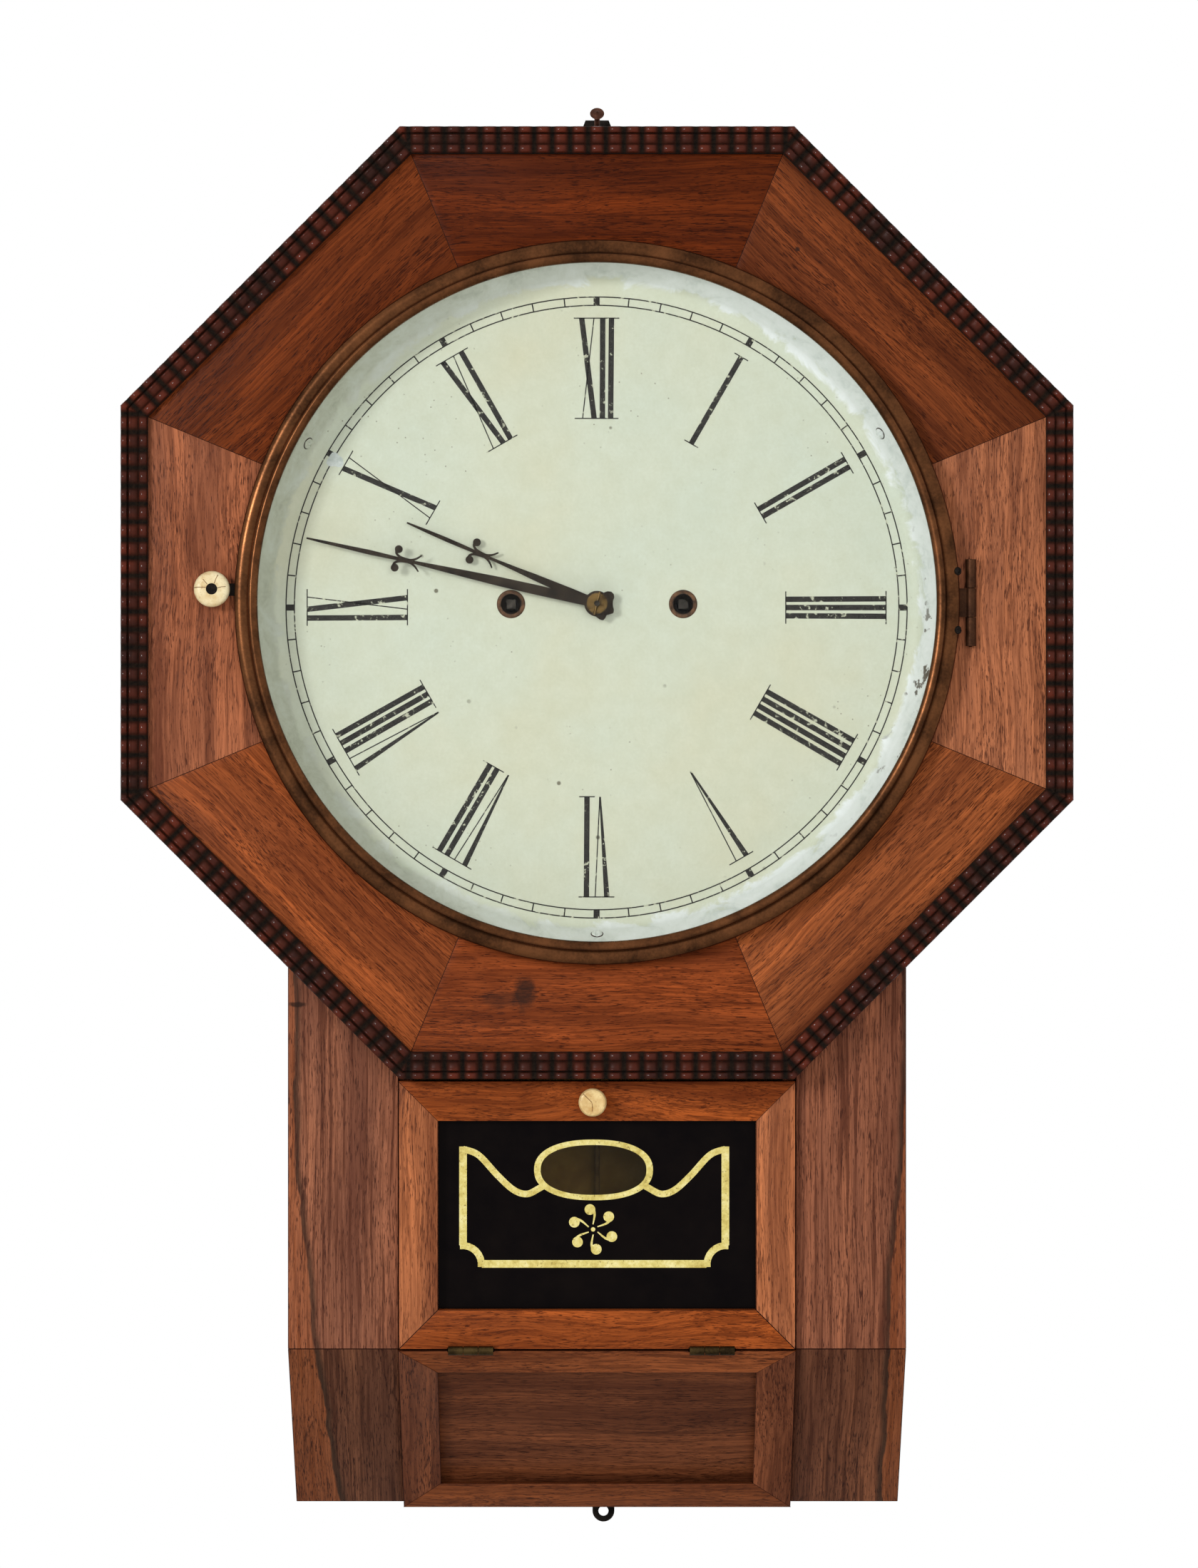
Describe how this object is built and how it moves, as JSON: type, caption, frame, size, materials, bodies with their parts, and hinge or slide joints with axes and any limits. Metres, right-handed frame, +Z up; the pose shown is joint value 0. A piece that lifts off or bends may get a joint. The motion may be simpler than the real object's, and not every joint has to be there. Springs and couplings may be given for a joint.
{
  "type": "octagon drop wall clock",
  "caption": "Wall clock with a ripple-moulded octagon front, a recessed Roman dial under a hinged glass bezel, and a canted drop with a glazed pendulum door.",
  "frame": {"origin": "on the wall plane, straight behind the centre of the dial", "axes": "+Z up, front of the clock towards -Y, +X to the right as seen from the front"},
  "size_m": [0.432, 0.1549, 0.6699],
  "materials": {
    "rosewood": "polished",
    "ripple_wood": "polished",
    "case_wood": "satin",
    "pine": "bare",
    "dial_paint": "matt paint",
    "bezel_brass": "aged",
    "brass": "aged",
    "glass": "clear",
    "tablet_glass": "painted on the back",
    "bone": "polished",
    "iron": "dull",
    "steel": "satin",
    "black_steel": "blued",
    "paper": "aged paper"
  },
  "bodies": {
    "case": {"backboard": "pine", "case_side_left": "case_wood", "case_side_right": "case_wood", "case_crown": "case_wood", "case_bottom": "case_wood", "drop_stile_left": "rosewood", "drop_stile_right": "rosewood", "head_rail": "pine", "canted_panel_left": "rosewood", "canted_panel_right": "rosewood", "apron_panel": "rosewood", "apron_frame": "rosewood", "octagon_segment_1": "rosewood", "octagon_segment_2": "rosewood", "octagon_segment_3": "rosewood", "octagon_segment_4": "rosewood", "octagon_segment_5": "rosewood", "octagon_segment_6": "rosewood", "octagon_segment_7": "rosewood", "octagon_segment_8": "rosewood", "ripple_mouldings": "ripple_wood", "dial": "dial_paint", "winding_grommets": "brass", "hanger_plate": "iron", "hanging_nail": "iron", "lower_ear": "iron", "bezel_hinge_case_leaf": "bezel_brass", "door_hinge_case_leaves": "brass", "backing_paper": "paper", "movement_back_plate": "brass", "movement_front_plate": "brass", "movement_pillars": "brass", "movement_blocks": "pine", "mainsprings": "steel", "suspension_cock": "brass"},
    "bezel": {"bezel_ring": "bezel_brass", "bezel_glass": "glass", "bezel_hinge_leaf": "bezel_brass"},
    "bezel_button": {"bezel_knob": "bone", "bezel_catch": "brass"},
    "door": {"door_frame": "rosewood", "door_tablet": "tablet_glass", "door_hinge_leaves": "brass"},
    "door_button": {"door_knob": "bone", "door_latch": "iron"},
    "minute": {"minute_hand": "black_steel", "hand_collet": "brass", "centre_arbor": "brass"},
    "hour": {"hour_hand": "black_steel", "hour_wheel": "brass"},
    "motion": {"motion_wheel": "brass"},
    "main_left": {"main_wheel_left": "brass"},
    "main_right": {"main_wheel_right": "brass"},
    "winder_left": {"winding_arbor_left": "steel"},
    "winder_right": {"winding_arbor_right": "steel"},
    "third": {"third_wheel": "brass"},
    "escape": {"escape_wheel": "brass"},
    "verge": {"verge": "steel"},
    "pendulum": {"pendulum_rod": "steel", "pendulum_bob": "brass"}
  },
  "joints": [
    {"name": "bezel_hinge", "type": "hinge", "parent": "case", "child": "bezel", "pos_m": [0.1695, -0.121, 0], "axis": [0, 0, 1], "range_deg": [0, 130]},
    {"name": "bezel_catch_turn", "type": "hinge", "parent": "case", "child": "bezel_button", "pos_m": [-0.1742, -0.118, 0.006], "axis": [0, 1, 0], "range_deg": [-90, 0]},
    {"name": "door_hinge", "type": "hinge", "parent": "case", "child": "door", "pos_m": [0, -0.1074, -0.3405], "axis": [1, 0, 0], "range_deg": [0, 180]},
    {"name": "door_latch_turn", "type": "hinge", "parent": "door", "child": "door_button", "pos_m": [-0.002, -0.1, -0.22695], "axis": [0, 1, 0], "range_deg": [0, 90]},
    {"name": "minute_turn", "type": "hinge", "parent": "case", "child": "minute", "pos_m": [0, -0.1, 0], "axis": [0, 1, 0], "continuous": true},
    {"name": "hour_turn", "type": "hinge", "parent": "case", "child": "hour", "pos_m": [0, -0.1, 0], "axis": [0, 1, 0], "continuous": true},
    {"name": "motion_turn", "type": "hinge", "parent": "case", "child": "motion", "pos_m": [0, -0.084, -0.016], "axis": [0, 1, 0], "continuous": true},
    {"name": "main_left_turn", "type": "hinge", "parent": "case", "child": "main_left", "pos_m": [-0.0393, -0.042, 0], "axis": [0, 1, 0], "continuous": true},
    {"name": "main_right_turn", "type": "hinge", "parent": "case", "child": "main_right", "pos_m": [0.0393, -0.042, 0], "axis": [0, 1, 0], "continuous": true},
    {"name": "winding_left_turn", "type": "hinge", "parent": "main_left", "child": "winder_left", "pos_m": [-0.0393, -0.07, 0], "axis": [0, 1, 0], "continuous": true},
    {"name": "winding_right_turn", "type": "hinge", "parent": "main_right", "child": "winder_right", "pos_m": [0.0393, -0.07, 0], "axis": [0, 1, 0], "continuous": true},
    {"name": "third_turn", "type": "hinge", "parent": "case", "child": "third", "pos_m": [0, -0.055, 0.032], "axis": [0, 1, 0], "continuous": true},
    {"name": "escape_turn", "type": "hinge", "parent": "case", "child": "escape", "pos_m": [0, -0.055, 0.0572], "axis": [0, 1, 0], "continuous": true},
    {"name": "pendulum_swing", "type": "hinge", "parent": "case", "child": "pendulum", "pos_m": [0, -0.023, 0.082], "axis": [0, 1, 0], "range_deg": [-4, 4]},
    {"name": "verge_rock", "type": "hinge", "parent": "case", "child": "verge", "pos_m": [0, -0.055, 0.082], "axis": [0, 1, 0], "range_deg": [-4.5, 4.5]}
  ],
  "couplings": [
    {"joint": "hour_turn", "follows": "minute_turn", "ratio": 0.083333},
    {"joint": "motion_turn", "follows": "minute_turn", "ratio": -0.33333},
    {"joint": "main_left_turn", "follows": "minute_turn", "ratio": -0.1},
    {"joint": "main_right_turn", "follows": "minute_turn", "ratio": -0.1},
    {"joint": "third_turn", "follows": "minute_turn", "ratio": -9},
    {"joint": "escape_turn", "follows": "minute_turn", "ratio": 72},
    {"joint": "verge_rock", "follows": "pendulum_swing", "ratio": 1}
  ]
}
